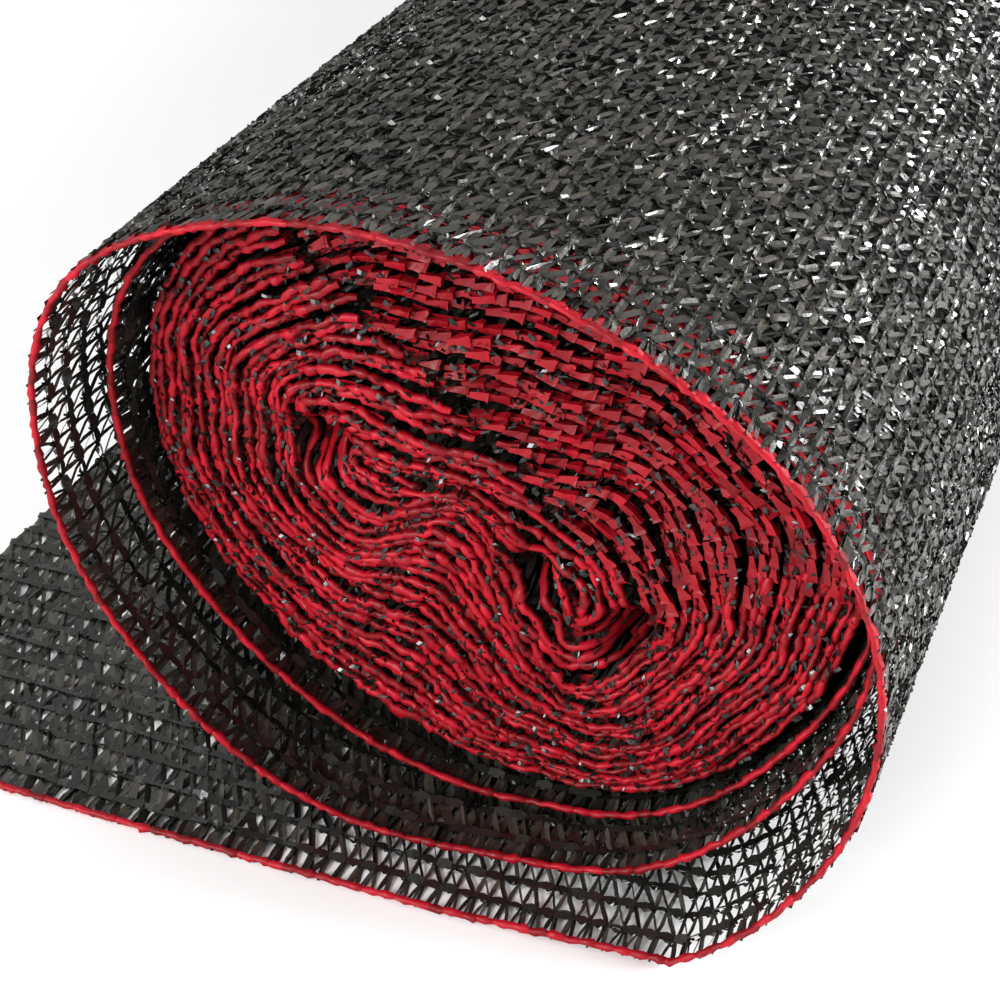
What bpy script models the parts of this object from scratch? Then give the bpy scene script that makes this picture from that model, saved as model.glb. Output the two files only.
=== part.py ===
"""A roll of knitted tape shade cloth with its loose outer turns and flat loose end.

Metres, +Z up. The roll lies along Y on its own loose end, which runs out along -X.
The near end of the roll faces -Y. The cloth is one piece: a tight wound roll in the
middle, and a sheet that leaves it, goes round it a little over two times and ends flat.
"""
import math
from collections import namedtuple

import bmesh
import bpy
import numpy as np

# Driving dimensions in metres
CLOTH_WIDTH = 1.0
SHEET_THICKNESS = 0.0015
SELVEDGE_THICKNESS = 0.0021
SELVEDGE_WIDTH = 0.0026
SELVEDGE_FADE = 0.0012
CENTRE_HEIGHT = 0.084
LOOSE_END_REACH = 0.181
LAYER_REST = 0.0030
ROLL_REST = 0.0088
SETBACK_PER_TURN = 0.020
ROLL_SETBACK = 0.045
CORE_SETBACK = 0.048
RIDGE_HEIGHT = 0.0020
GROOVE_DEPTH = 0.0026
RIM_INSET = 0.98
RIM_ROUND_LENGTH = 0.004
MILLIMETRE = 0.001

# How far each turn stands from the roll's middle line, in twelve directions, and two folded
# layers inside the tight roll, both by their own places across and up. All in millimetres.
# A direction is in degrees from +X towards +Z, as seen from the near end.
Spoke = namedtuple("Spoke", "direction first_turn second_turn third_turn wound "
                   "kidney_x kidney_z core_x core_z")
SPOKES = (
    Spoke(-90, 84.0, 81.0, 78.0, 74.5, 5, 46, 8, 70),
    Spoke(-60, 100.0, 87.4, 84.2, 80.6, 13, 38, 14, 57),
    Spoke(-30, 99.3, 87.4, 84.4, 80.8, 30, 50, 19, 54),
    Spoke(0, 94.6, 88.5, 85.4, 81.7, 37, 68, 22, 60),
    Spoke(30, 88.4, 85.2, 81.9, 78.0, 28, 88, 16, 75),
    Spoke(60, 83.2, 80.0, 77.0, 75.6, 10, 97, 4, 86),
    Spoke(90, 86.5, 83.4, 80.2, 79.2, -14, 99, -14, 89),
    Spoke(120, 97.5, 94.2, 91.0, 89.8, -36, 105, -31, 91),
    Spoke(150, 112.3, 104.6, 101.5, 98.8, -54, 103, -44, 92),
    Spoke(180, 106.0, 97.0, 94.0, 91.5, -55, 86, -44, 87),
    Spoke(210, 94.2, 83.8, 82.0, 79.0, -41, 72, -31, 86),
    Spoke(240, 86.8, 77.4, 76.0, 72.8, -14, 78, -12, 85),
)
FIRST_DIRECTION = SPOKES[0].direction
SPOKE_STEP = SPOKES[1].direction - SPOKES[0].direction
UNWOUND = [getattr(spoke, turn) for turn in ("first_turn", "second_turn", "third_turn")
           for spoke in SPOKES]

# Where the two folded layers lie between the roll's innermost fold and its rim
KIDNEY_PART = 0.27
INNERMOST_PART = 0.04

# The sheet leaves the tight roll at this unwound angle, counted from the loose end's.
SHEET_END_ANGLE = 735
SHEET_ANGLE_STEP = 8.6
LOOSE_END_ROWS = 8

# How far across the cloth its rows of points lie, as parts of the width between the selvedges
ACROSS = (0.07, 0.2, 0.34, 0.5, 0.66, 0.8, 0.93)

# Soft lumps along the roll: height in millimetres, waves along a metre, waves round, phase
Lump = namedtuple("Lump", "height along around phase")
LUMPS = (
    Lump(1.4, 1.3, 2, 0.4),
    Lump(0.7, 2.3, -3, 2.1),
)

# Waves of the cloth's edge: height in millimetres, radians along a metre of cloth, phase
Wave = namedtuple("Wave", "height along phase")
EDGE_WAVES = (
    Wave(1.6, 9.0, 0.0),
    Wave(0.9, 23.0, 1.7),
)

ROLL_TURNS = 8
POINTS_ROUND = 56
ROLL_STATIONS = 10


def curve_through(values, place):
    """A smooth value at a fractional place in a row of evenly spaced ones."""
    index = int(math.floor(place))
    index = max(0, min(index, len(values) - 2))
    part = place - index
    before = values[max(index - 1, 0)]
    here = values[index]
    there = values[index + 1]
    after = values[min(index + 2, len(values) - 1)]
    bend = 2 * before - 5 * here + 4 * there - after
    twist = 3 * (here - there) + after - before
    return here + 0.5 * part * (there - before + part * (bend + part * twist))


def lumps_at(angle, along):
    """The soft unevenness of the whole roll, the same for every layer at one place."""
    height = 0.0
    for lump in LUMPS:
        height += lump.height * math.sin(2 * math.pi * lump.along * along
                                         + lump.around * angle + lump.phase)
    return height * MILLIMETRE


def edge_wave(run):
    """How far the edge wanders along Y after this length of cloth."""
    return sum(wave.height * math.sin(wave.along * run + wave.phase)
               for wave in EDGE_WAVES) * MILLIMETRE


def ring_value(column, angle):
    """A column of the spokes' table at any direction, round and round."""
    place = (math.degrees(angle) - FIRST_DIRECTION) / SPOKE_STEP % len(SPOKES)
    nearest = [getattr(SPOKES[(int(place) + shift) % len(SPOKES)], column)
               for shift in (-1, 0, 1, 2)]
    return curve_through(nearest, 1 + place - int(place)) * MILLIMETRE


def sheet_point(unwound, along):
    """A point on the outer face of the loose turns, or on the flat loose end before them."""
    turns = (unwound - FIRST_DIRECTION) / 360
    angle = math.radians(unwound)
    radius = curve_through(UNWOUND, turns * len(SPOKES)) * MILLIMETRE + lumps_at(angle, along)
    height = CENTRE_HEIGHT + radius * math.sin(angle)
    return radius * math.cos(angle), along, max(height, LAYER_REST * round(turns))


def thickness_group(sheet, columns, rows, factors):
    """Weights that let Solidify leave the selvedges thicker than the cloth."""
    group = sheet.vertex_groups.new(name="thickness")
    for column in range(columns):
        points = [row * columns + column for row in range(rows)]
        group.add(points, factors[column], "REPLACE")


def paint(name, colour, roughness):
    """A glossy plastic tape colour."""
    material = bpy.data.materials.new(name)
    material.use_nodes = True
    shader = material.node_tree.nodes["Principled BSDF"]
    shader.inputs["Base Color"].default_value = (*colour, 1.0)
    shader.inputs["Roughness"].default_value = roughness
    shader.inputs["Metallic"].default_value = 0.0
    return material


def add_object(name, points, faces, home):
    """A smooth mesh object in the part's collection."""
    mesh = bpy.data.meshes.new(name)
    mesh.from_pydata(points, [], faces)
    mesh.shade_smooth()
    piece = bpy.data.objects.new(name, mesh)
    home.objects.link(piece)
    return piece


def make_loose_turns(home, tape, edge_tape):
    """The flat loose end, the two loose turns and the start of the third, as one sheet."""
    turning = np.arange(FIRST_DIRECTION, SHEET_END_ANGLE, SHEET_ANGLE_STEP)
    turning = [*turning, SHEET_END_ANGLE]
    flat = np.linspace(-LOOSE_END_REACH, 0, LOOSE_END_ROWS, endpoint=False)
    selvedge = (0.0, SELVEDGE_WIDTH, SELVEDGE_WIDTH + SELVEDGE_FADE)
    inner = [part * CLOTH_WIDTH for part in ACROSS]
    across = [*selvedge, *inner, *(CLOTH_WIDTH - part for part in reversed(selvedge))]
    points = []
    for reach in flat:
        run = reach + LOOSE_END_REACH
        for part in across:
            ragged = edge_wave(part) if reach == flat[0] else 0.0
            points.append((reach + ragged, part + edge_wave(run), 0.0))
    for unwound in turning:
        setback = SETBACK_PER_TURN * (unwound - FIRST_DIRECTION) / 360
        run = LOOSE_END_REACH + math.radians(unwound - FIRST_DIRECTION) * CENTRE_HEIGHT
        for part in across:
            points.append(sheet_point(unwound, part + setback + edge_wave(run)))
    rows = len(flat) + len(turning)
    columns = len(across)
    faces = [(row * columns + column, row * columns + column + 1,
              (row + 1) * columns + column + 1, (row + 1) * columns + column)
             for row in range(rows - 1) for column in range(columns - 1)]
    sheet = add_object("loose_turns", points, faces, home)
    sheet.data.materials.append(tape)
    sheet.data.materials.append(edge_tape)
    for face in sheet.data.polygons:
        column = face.index % (columns - 1)
        face.material_index = 1 if column in (0, columns - 2) else 0
    thin = SHEET_THICKNESS / SELVEDGE_THICKNESS
    factors = [1.0, 1.0, thin, *(thin for part in ACROSS), thin, 1.0, 1.0]
    thickness_group(sheet, columns, rows, factors)
    shell = sheet.modifiers.new("cloth", "SOLIDIFY")
    shell.thickness = SELVEDGE_THICKNESS
    shell.offset = -1.0
    shell.vertex_group = "thickness"
    return sheet


def roll_section_point(part, angle, along):
    """A point of the tight roll's layers: part is 0 at its innermost fold and 1 at its rim."""
    kidney = (ring_value("kidney_x", angle), ring_value("kidney_z", angle))
    if part < KIDNEY_PART:
        inner = (ring_value("core_x", angle), ring_value("core_z", angle))
        outer = kidney
        share = part / KIDNEY_PART
    else:
        radius = ring_value("wound", angle) + lumps_at(angle, along)
        inner = kidney
        outer = (radius * math.cos(angle), CENTRE_HEIGHT + radius * math.sin(angle))
        share = (part - KIDNEY_PART) / (1 - KIDNEY_PART)
    across = inner[0] + (outer[0] - inner[0]) * share
    height = inner[1] + (outer[1] - inner[1]) * share
    return across, along, max(height, ROLL_REST)


def make_wound_roll(home, tape):
    """The tight roll: a long oval body whose two ends show the wound edges as a spiral."""
    points = []
    faces = []
    start = math.radians(SHEET_END_ANGLE)
    angles = [start - 2 * math.pi * step / POINTS_ROUND for step in range(POINTS_ROUND)]
    last = ROLL_TURNS * POINTS_ROUND

    def add_ring(along, part):
        """One closed outline of the roll's body; returns its points' numbers."""
        first = len(points)
        for angle in angles:
            points.append(roll_section_point(part, angle, along))
        return [first + step for step in range(POINTS_ROUND)]

    def add_end(rim, face_at, outward):
        """Close one end with a ridge and a groove that wind from the core to the rim."""
        ridge = []
        groove = []
        for step in range(last):
            angle = start - 2 * math.pi * step / POINTS_ROUND
            part = INNERMOST_PART + (RIM_INSET - INNERMOST_PART) * step / last
            to_next = (RIM_INSET - INNERMOST_PART) * min(POINTS_ROUND, last - step) / last
            along = face_at(part)
            ridge.append(len(points))
            points.append(roll_section_point(part, angle, along + outward * RIDGE_HEIGHT))
            groove.append(len(points))
            points.append(roll_section_point(part + to_next / 2, angle,
                                             along - outward * GROOVE_DEPTH))
        ridge.append(rim[0])
        groove.append(rim[0])
        outer = [*rim, rim[0]]
        faces.append((*ridge[:POINTS_ROUND + 1], groove[0]))
        for step in range(last):
            turn_later = step + POINTS_ROUND
            beyond = ridge[turn_later:turn_later + 2]
            if turn_later >= last:
                beyond = outer[turn_later - last:turn_later - last + 2]
            for side in ((ridge[step], ridge[step + 1], groove[step + 1], groove[step]),
                         (groove[step], groove[step + 1], beyond[1], beyond[0])):
                faces.append(tuple(dict.fromkeys(side)))

    def near_face(part):
        return ROLL_SETBACK + (CORE_SETBACK - ROLL_SETBACK) * (1 - part)

    def far_face(part):
        return CLOTH_WIDTH + near_face(part)

    near = ROLL_SETBACK
    far = CLOTH_WIDTH + ROLL_SETBACK
    body = np.linspace(near + RIM_ROUND_LENGTH, far - RIM_ROUND_LENGTH, ROLL_STATIONS)
    rings = [add_ring(near, RIM_INSET)]
    rings += [add_ring(along, 1) for along in body]
    rings.append(add_ring(far, RIM_INSET))
    for one, two in zip(rings, rings[1:]):
        for step in range(POINTS_ROUND):
            following = (step + 1) % POINTS_ROUND
            faces.append((one[step], one[following], two[following], two[step]))
    add_end(rings[0], near_face, -1)
    add_end(rings[-1], far_face, 1)
    roll = add_object("wound_roll", points, faces, home)
    turn_faces_outward(roll.data)
    roll.data.materials.append(tape)
    return roll


def turn_faces_outward(mesh):
    """Give a closed mesh one outward side."""
    work = bmesh.new()
    work.from_mesh(mesh)
    bmesh.ops.recalc_face_normals(work, faces=work.faces)
    work.to_mesh(mesh)
    work.free()


def stand_on_origin(pieces, home):
    """Parent the pieces to an empty that puts the middle of their underside at the origin."""
    empty = bpy.data.objects.new("shade_cloth_origin", None)
    home.objects.link(empty)
    bpy.context.view_layer.update()
    graph = bpy.context.evaluated_depsgraph_get()
    corners = [corner for piece in pieces for corner in piece.evaluated_get(graph).bound_box]
    low = np.min(corners, axis=0)
    high = np.max(corners, axis=0)
    for piece in pieces:
        piece.parent = empty
    empty.location = (-(low[0] + high[0]) / 2, -(low[1] + high[1]) / 2, -low[2])


def build():
    for old in list(bpy.data.objects):
        bpy.data.objects.remove(old)
    home = bpy.data.collections.new("shade_cloth")
    bpy.context.scene.collection.children.link(home)
    tape = paint("black_tape", (0.012, 0.013, 0.012), 0.35)
    edge_tape = paint("red_edge_tape", (0.36, 0.02, 0.02), 0.4)
    sheet = make_loose_turns(home, tape, edge_tape)
    roll = make_wound_roll(home, tape)
    stand_on_origin([sheet, roll], home)


build()
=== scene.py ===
# %% [markdown]
# # A roll of knitted tape shade cloth
#
# Shade cloth of this kind is knitted on a warp machine from flat strips of black plastic.
# Chains of loops run along the cloth. Straight tapes and slanting tapes cross them, and the
# gaps between the tapes let light and air through. The two long edges are knitted in red.
#
# The holes have to be real here, because the floor shows through them. So the cloth is built
# tape by tape from arrays, and every tape is bent onto the path that the cloth takes: flat on
# the floor, round the roll, and wound up tight.

# %% Load the frame
import math
from collections import namedtuple

import bpy
import numpy as np
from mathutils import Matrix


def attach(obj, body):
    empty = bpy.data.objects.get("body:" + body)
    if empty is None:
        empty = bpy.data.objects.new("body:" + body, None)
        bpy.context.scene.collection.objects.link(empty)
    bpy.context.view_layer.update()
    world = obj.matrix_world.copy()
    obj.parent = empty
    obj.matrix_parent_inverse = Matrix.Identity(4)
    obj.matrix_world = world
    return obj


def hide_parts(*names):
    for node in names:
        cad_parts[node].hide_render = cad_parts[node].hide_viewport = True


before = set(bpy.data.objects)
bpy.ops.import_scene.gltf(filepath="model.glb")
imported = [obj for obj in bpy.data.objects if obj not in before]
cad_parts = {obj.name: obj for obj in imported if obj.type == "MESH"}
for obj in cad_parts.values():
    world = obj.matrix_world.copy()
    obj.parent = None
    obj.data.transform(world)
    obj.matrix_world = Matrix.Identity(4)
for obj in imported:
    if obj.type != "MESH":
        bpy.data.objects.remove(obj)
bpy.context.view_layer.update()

# %% [markdown]
# The roll isn't round. It was squashed when it was packed, and its outer turns have sprung
# loose. The table gives how far each turn stands from the roll's middle line in twelve
# directions, in millimetres, as on the solids that this scene dresses. Two more pairs of
# columns place a kidney-shaped fold inside the roll and the flat fold that it is wound on.

# %% The turns of the cloth
MILLIMETRE = 0.001
Spoke = namedtuple("Spoke", "direction first_turn second_turn third_turn wound "
                   "kidney_x kidney_z core_x core_z")
SPOKES = (
    Spoke(-90, 84.0, 81.0, 78.0, 74.5, 5, 46, 8, 70),
    Spoke(-60, 100.0, 87.4, 84.2, 80.6, 13, 38, 14, 57),
    Spoke(-30, 99.3, 87.4, 84.4, 80.8, 30, 50, 19, 54),
    Spoke(0, 94.6, 88.5, 85.4, 81.7, 37, 68, 22, 60),
    Spoke(30, 88.4, 85.2, 81.9, 78.0, 28, 88, 16, 75),
    Spoke(60, 83.2, 80.0, 77.0, 75.6, 10, 97, 4, 86),
    Spoke(90, 86.5, 83.4, 80.2, 79.2, -14, 99, -14, 89),
    Spoke(120, 97.5, 94.2, 91.0, 89.8, -36, 105, -31, 91),
    Spoke(150, 112.3, 104.6, 101.5, 98.8, -54, 103, -44, 92),
    Spoke(180, 106.0, 97.0, 94.0, 91.5, -55, 86, -44, 87),
    Spoke(210, 94.2, 83.8, 82.0, 79.0, -41, 72, -31, 86),
    Spoke(240, 86.8, 77.4, 76.0, 72.8, -14, 78, -12, 85),
)
FIRST_DIRECTION = -90
SPOKE_STEP = 30
UNWOUND = np.array([getattr(spoke, turn) for turn in ("first_turn", "second_turn", "third_turn")
                    for spoke in SPOKES])


def curve_through(values, place):
    """Smooth values at fractional places in a row of evenly spaced ones."""
    index = np.clip(np.floor(place).astype(int), 0, len(values) - 2)
    part = place - index
    before = values[np.maximum(index - 1, 0)]
    here = values[index]
    there = values[index + 1]
    after = values[np.minimum(index + 2, len(values) - 1)]
    bend = 2 * before - 5 * here + 4 * there - after
    twist = 3 * (here - there) + after - before
    return here + 0.5 * part * (there - before + part * (bend + part * twist))


def ring_value(column, angle):
    """A column of the table at any direction, in metres."""
    values = np.array([getattr(spoke, column) for spoke in SPOKES], float)
    place = (np.degrees(angle) - FIRST_DIRECTION) / SPOKE_STEP % len(values)
    wrapped = np.concatenate((values[-1:], values, values[:2]))
    return curve_through(wrapped, place + 1) * MILLIMETRE


print(len(SPOKES), "directions,", len(UNWOUND), "radii along the loose cloth")

# %% [markdown]
# The cloth bends only round the roll, so one curve seen from the end and the width of the
# cloth place any point of it. Here a point is told by how far along the cloth it lies, how
# far in from the near edge, and how far below the cloth's outer face. The same soft lumps and
# edge waves as on the solids keep the net inside them.

# %% The path of the loose cloth
MIDDLE_X = 0.0429
NEAR_EDGE_Y = -0.5252
CLOTH_WIDTH = 1.0
CENTRE_HEIGHT = 0.084
LOOSE_END_REACH = 0.181
LAYER_REST = 0.0030
SETBACK_PER_TURN = 0.020
SHEET_END_ANGLE = 735
FLOOR_CLEARANCE = 0.0001
LUMPS_GROW = 8
LUMPS = ((0.0014, 1.3, 2, 0.4), (0.0007, 2.3, -3, 2.1))
EDGE_WAVES = ((0.0016, 9.0, 0.0), (0.0009, 23.0, 1.7))


def lumps_at(angle, along):
    """The soft unevenness of the roll, the same for every layer at one place."""
    return sum(height * np.sin(2 * math.pi * waves * along + around * angle + phase)
               for height, waves, around, phase in LUMPS)


def edge_wave(run):
    """How far the edge wanders along the roll after this length of cloth."""
    return sum(height * np.sin(waves * run + phase) for height, waves, phase in EDGE_WAVES)


FLAT_STEPS = 60
ANGLE_STEP = 0.5
turning = np.arange(FIRST_DIRECTION, SHEET_END_ANGLE + ANGLE_STEP, ANGLE_STEP)
path_angle = np.concatenate((np.full(FLAT_STEPS, float(FIRST_DIRECTION)), turning))
path_radius = curve_through(UNWOUND, (path_angle - FIRST_DIRECTION) / SPOKE_STEP) * MILLIMETRE
path_slide = np.concatenate((np.linspace(-LOOSE_END_REACH, 0, FLAT_STEPS, endpoint=False),
                             np.zeros(len(turning))))
path_rest = LAYER_REST * np.round((path_angle - FIRST_DIRECTION) / 360)
path_x = path_radius * np.cos(np.radians(path_angle)) + path_slide
path_z = np.maximum(CENTRE_HEIGHT + path_radius * np.sin(np.radians(path_angle)), path_rest)
path_step = np.hypot(np.diff(path_x), np.diff(path_z))
path_length = np.concatenate(([0.0], np.cumsum(path_step)))
slope_x = np.gradient(path_x, path_length)
slope_z = np.gradient(path_z, path_length)
LOOSE_LENGTH = path_length[-1]


def length_at(unwound):
    """How far along the cloth this unwound angle lies, in metres from the cut end."""
    return float(np.interp(unwound, turning, path_length[FLAT_STEPS:]))


def cloth_point(along, across, below):
    """Points of the loose cloth, from places along it, across it and below its outer face."""
    unwound = np.interp(along, path_length, path_angle)
    angle = np.radians(unwound)
    turns = (unwound - FIRST_DIRECTION) / 360
    run = np.where(turns > 0, LOOSE_END_REACH + 2 * math.pi * turns * CENTRE_HEIGHT, along)
    y = across + SETBACK_PER_TURN * turns + edge_wave(run)
    lump = lumps_at(angle, y) * np.clip(turns * LUMPS_GROW, 0, 1)
    x = np.interp(along, path_length, path_x) + lump * np.cos(angle)
    x += np.minimum(along, 0)
    z = np.interp(along, path_length, path_z) + lump * np.sin(angle)
    z = np.maximum(z, np.interp(along, path_length, path_rest))
    x -= np.interp(along, path_length, slope_z) * below
    z += np.interp(along, path_length, slope_x) * below
    z = np.maximum(z, FLOOR_CLEARANCE)
    return np.stack((x + MIDDLE_X, y + NEAR_EDGE_Y, z), axis=-1)


print(f"loose cloth {LOOSE_LENGTH:.3f} m long; one turn ends at {length_at(270):.3f} m")

# %% [markdown]
# The photograph was taken with a normal lens from about a third of a metre above the table,
# looking down along the roll. The camera goes where the vanishing point of the roll's long
# lines puts it, measured from the roll's near edge and its middle line.

# %% Camera
def add_object(name, data):
    """A new object in the scene."""
    thing = bpy.data.objects.new(name, data)
    bpy.context.scene.collection.objects.link(thing)
    return thing


CAMERA_RIGHT = 0.145
CAMERA_BEFORE_EDGE = 0.3285
CAMERA_HEIGHT = 0.350
LOOK = (-0.3100, 0.7806, -0.5427)
camera_data = bpy.data.cameras.new("camera")
camera_data.lens = 50
camera_data.sensor_width = 24
camera_data.clip_start = 0.01
camera = add_object("camera", camera_data)
camera.location = (MIDDLE_X + CAMERA_RIGHT, NEAR_EDGE_Y - CAMERA_BEFORE_EDGE, CAMERA_HEIGHT)
look_down = math.atan2(-LOOK[2], math.hypot(LOOK[0], LOOK[1]))
camera.rotation_euler = (math.pi / 2 - look_down, 0, math.atan2(-LOOK[0], LOOK[1]))
bpy.context.scene.camera = camera
print(f"camera looks {math.degrees(look_down):.1f} degrees down")

# %% [markdown]
# Black polyethylene tape is thin and glossy. Its colour is a very dark olive grey, a little
# different from tape to tape, and fine wrinkles along it break up the highlights. So every
# tape carries a random number, `tint`, that picks its colour from a ramp, and a fine noise
# gives the wrinkles. Some kinds of tape draw that number only from the dark end, as painted
# shade, and the loops only from the light end, as a painted highlight.

# %% Tape materials
WRINKLES_PER_METRE = 700
WRINKLE_DEPTH = 0.0003
WRINKLE_STRENGTH = 0.12


def set_inputs(node, values):
    """Give several inputs of a shader node their values."""
    for name, value in values.items():
        node.inputs[name].default_value = value
    return node


def new_material(name, values):
    """A material and its surface shader, some of whose inputs are given."""
    material = bpy.data.materials.new(name)
    material.use_nodes = True
    return material, set_inputs(material.node_tree.nodes["Principled BSDF"], values)


def link_nodes(material, pairs):
    """Each pair is a node, its output, another node and its input."""
    for source, output, target, place in pairs:
        material.node_tree.links.new(source.outputs[output], target.inputs[place])


def tape_material(name, colours, roughness, specular):
    """Glossy plastic tape. A ramp starts with stops at 0 and 1, so those two come first."""
    material, shader = new_material(name, {"Specular IOR Level": specular, "IOR": 1.5})
    nodes = material.node_tree.nodes
    tint = nodes.new("ShaderNodeAttribute")
    tint.attribute_name = "tint"
    ramp = nodes.new("ShaderNodeValToRGB")
    stops = ramp.color_ramp.elements
    for number, (place, colour) in enumerate(colours):
        stop = stops[number] if number < 2 else stops.new(place)
        stop.position = place
        stop.color = (*colour, 1)
    spot = nodes.new("ShaderNodeTexCoord")
    wrinkles = set_inputs(nodes.new("ShaderNodeTexNoise"),
                          {"Scale": WRINKLES_PER_METRE, "Detail": 3})
    gloss = set_inputs(nodes.new("ShaderNodeMapRange"), {
        "From Min": 0.3, "From Max": 0.7, "To Min": roughness[0], "To Max": roughness[1]})
    bump = set_inputs(nodes.new("ShaderNodeBump"),
                      {"Strength": WRINKLE_STRENGTH, "Distance": WRINKLE_DEPTH})
    link_nodes(material, (
        (tint, "Fac", ramp, "Fac"), (ramp, "Color", shader, "Base Color"),
        (spot, "Object", wrinkles, "Vector"), (wrinkles, "Fac", gloss, "Value"),
        (gloss, "Result", shader, "Roughness"), (wrinkles, "Fac", bump, "Height"),
        (bump, "Normal", shader, "Normal")))
    return material


BLACK_TAPE = tape_material(
    "black_tape",
    ((0, (0.010, 0.010, 0.009)), (1.0, (0.062, 0.057, 0.044)), (0.6, (0.029, 0.027, 0.022))),
    roughness=(0.15, 0.34), specular=0.5)
RED_TAPE = tape_material(
    "red_tape",
    ((0, (0.15, 0.002, 0.005)), (1.0, (0.42, 0.005, 0.017)), (0.5, (0.29, 0.003, 0.010))),
    roughness=(0.35, 0.60), specular=0.22)
print("materials", BLACK_TAPE.name, RED_TAPE.name)

# %% [markdown]
# Every tape is one kind of shape: a few cross-sections joined by faces. One array of cross-
# sections, tape by tape, becomes a whole mesh at once. That is far quicker than thousands of
# separate objects, and the arrays can be bent onto the cloth's path before the mesh is made.
# Flat tapes keep flat faces, so their folds stay crisp. Ropes are shaded softly.

# %% Many strips in one mesh
def strip_faces(count, sections, points, closed):
    """The faces that join the cross-sections of count strips."""
    sides = points if closed else points - 1
    strip, section, side = np.meshgrid(np.arange(count), np.arange(sections - 1),
                                       np.arange(sides), indexing="ij")
    first = (strip * sections + section) * points
    follow = (side + 1) % points
    return np.stack((first + side, first + follow, first + points + follow,
                     first + points + side), axis=-1).reshape(-1, 4)


class Strips:
    """Collects strips, each with its own tint, and makes one piece of them."""

    def __init__(self, bend):
        self.bend = bend
        self.points = []
        self.faces = []
        self.tints = []
        self.soft = []
        self.total = 0

    def add(self, points, tint, closed=False, soft=False):
        """points is shaped (strips, cross-sections, points in each, 3), on the flat cloth.

        Closed strips are tubes, and soft ones are shaded without facets.
        """
        count, sections, across = points.shape[:3]
        faces = strip_faces(count, sections, across, closed)
        bent = self.bend(points[..., 0], points[..., 1], points[..., 2])
        self.points.append(bent.reshape(-1, 3))
        self.faces.append(faces + self.total)
        self.tints.append(np.repeat(tint, len(faces) // count))
        self.soft.append(np.full(len(faces), soft))
        self.total += count * sections * across

    def make(self, name, material):
        """The piece: one mesh with a tint on each face."""
        points = np.concatenate(self.points)
        faces = np.concatenate(self.faces)
        mesh = bpy.data.meshes.new(name)
        mesh.vertices.add(len(points))
        mesh.vertices.foreach_set("co", points.astype(np.float32).ravel())
        mesh.loops.add(faces.size)
        mesh.loops.foreach_set("vertex_index", faces.astype(np.int32).ravel())
        mesh.polygons.add(len(faces))
        mesh.polygons.foreach_set("loop_start", np.arange(0, faces.size, 4, dtype=np.int32))
        tint = mesh.attributes.new("tint", "FLOAT", "FACE")
        tint.data.foreach_set("value", np.concatenate(self.tints).astype(np.float32))
        mesh.polygons.foreach_set("use_smooth", np.concatenate(self.soft))
        mesh.update(calc_edges=True)
        mesh.materials.append(material)
        print(f"{name}: {len(faces) * 2} triangles")
        return add_object(name, mesh)


print("pieces can be made of strips")

# %% [markdown]
# One stitch of the net is about 4.2 mm long, and the rows of chain stitches are 8 mm apart.
# No two stitches lie alike. So their places are drawn once from a seeded generator, and
# every tape that meets at a stitch uses the same place.

# %% Where the stitches lie
STITCH = 0.0042
EDGE_BAND = 0.0026
FIRST_ROW = EDGE_BAND + 0.0056
ROW_GAPS = 122
ROW_SPACING = (CLOTH_WIDTH - 2 * FIRST_ROW) / ROW_GAPS
STITCHES = int(LOOSE_LENGTH / STITCH)
GRID = (STITCHES + 4, ROW_GAPS + 2)
dice = np.random.default_rng(11)
stitch_number, row_number = np.meshgrid(np.arange(GRID[0]), np.arange(GRID[1]), indexing="ij")


def scatter(spread):
    """One random number around 0 for each stitch."""
    return dice.normal(0, spread, GRID)


ALONG_SPREAD = 0.00022
ACROSS_SPREAD = 0.00016
ROW_WAVER = 0.0004
PAIR_SHIFT = 0.0005
CREASE_SPREAD = 0.00026
node_along = stitch_number * STITCH + scatter(ALONG_SPREAD)
node_across = FIRST_ROW + row_number * ROW_SPACING + scatter(ACROSS_SPREAD)
node_across += ROW_WAVER * np.sin(0.23 * stitch_number + 1.3 * row_number)
pair_along = node_along + PAIR_SHIFT * (-1.0) ** stitch_number
node_lean = scatter(0.14)
middle_lean = scatter(0.22)
tape_tint = dice.uniform(0, 1, GRID)
row_offset = dice.integers(0, 2, GRID[1])
crease_at = scatter(CREASE_SPREAD)
print(GRID[0] * GRID[1], "stitches,", f"rows {ROW_SPACING * 1000:.2f} mm apart")

# %% [markdown]
# Where the cloth is drawn tight over the top of the roll, its tapes lie flat and wide. At the
# two sides, where it hangs loose, they roll up and the holes open. On the floor and inside
# the roll the layers lie flat again. A rolled-up tape would cost many faces, so one factor
# for the width follows the cloth: pairs of angle and width, and one width for the floor.

# %% How flat the tapes lie
FLAT_ON_FLOOR = 1.5
FLOOR_FADE = (0.11, 0.165)
WIDTH_AT_ANGLE = ((-90, 0.62), (0, 0.70), (30, 0.92), (60, 1.0), (130, 1.0), (165, 0.70),
                  (195, 0.64), (230, 1.3), (735, 1.3))


def flatness(along):
    """1 where the tapes lie flat, less where they are rolled up."""
    unwound = np.interp(along, path_length, path_angle)
    in_turns = np.interp(unwound, *zip(*WIDTH_AT_ANGLE))
    on_floor = np.interp(along, FLOOR_FADE, (FLAT_ON_FLOOR, WIDTH_AT_ANGLE[0][1]))
    return np.where(along > LOOSE_END_REACH, in_turns, on_floor)


def ribbon(along, across, below, width_line, half, crease=None):
    """Points across a tape: its two sides, and the fold along its middle if it has one."""
    middle = np.stack(np.broadcast_arrays(along, across, below), axis=-1)
    line = np.stack(np.broadcast_arrays(*width_line), axis=-1)
    line = line / np.linalg.norm(line, axis=-1, keepdims=True)
    offset = line * np.asarray(half)[..., None]
    if crease is None:
        return np.stack((middle - offset, middle + offset), axis=-2)
    fold = middle + np.stack(np.broadcast_arrays(0.0, 0.0, crease), axis=-1)
    return np.stack((middle - offset, fold, middle + offset), axis=-2)


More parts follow.
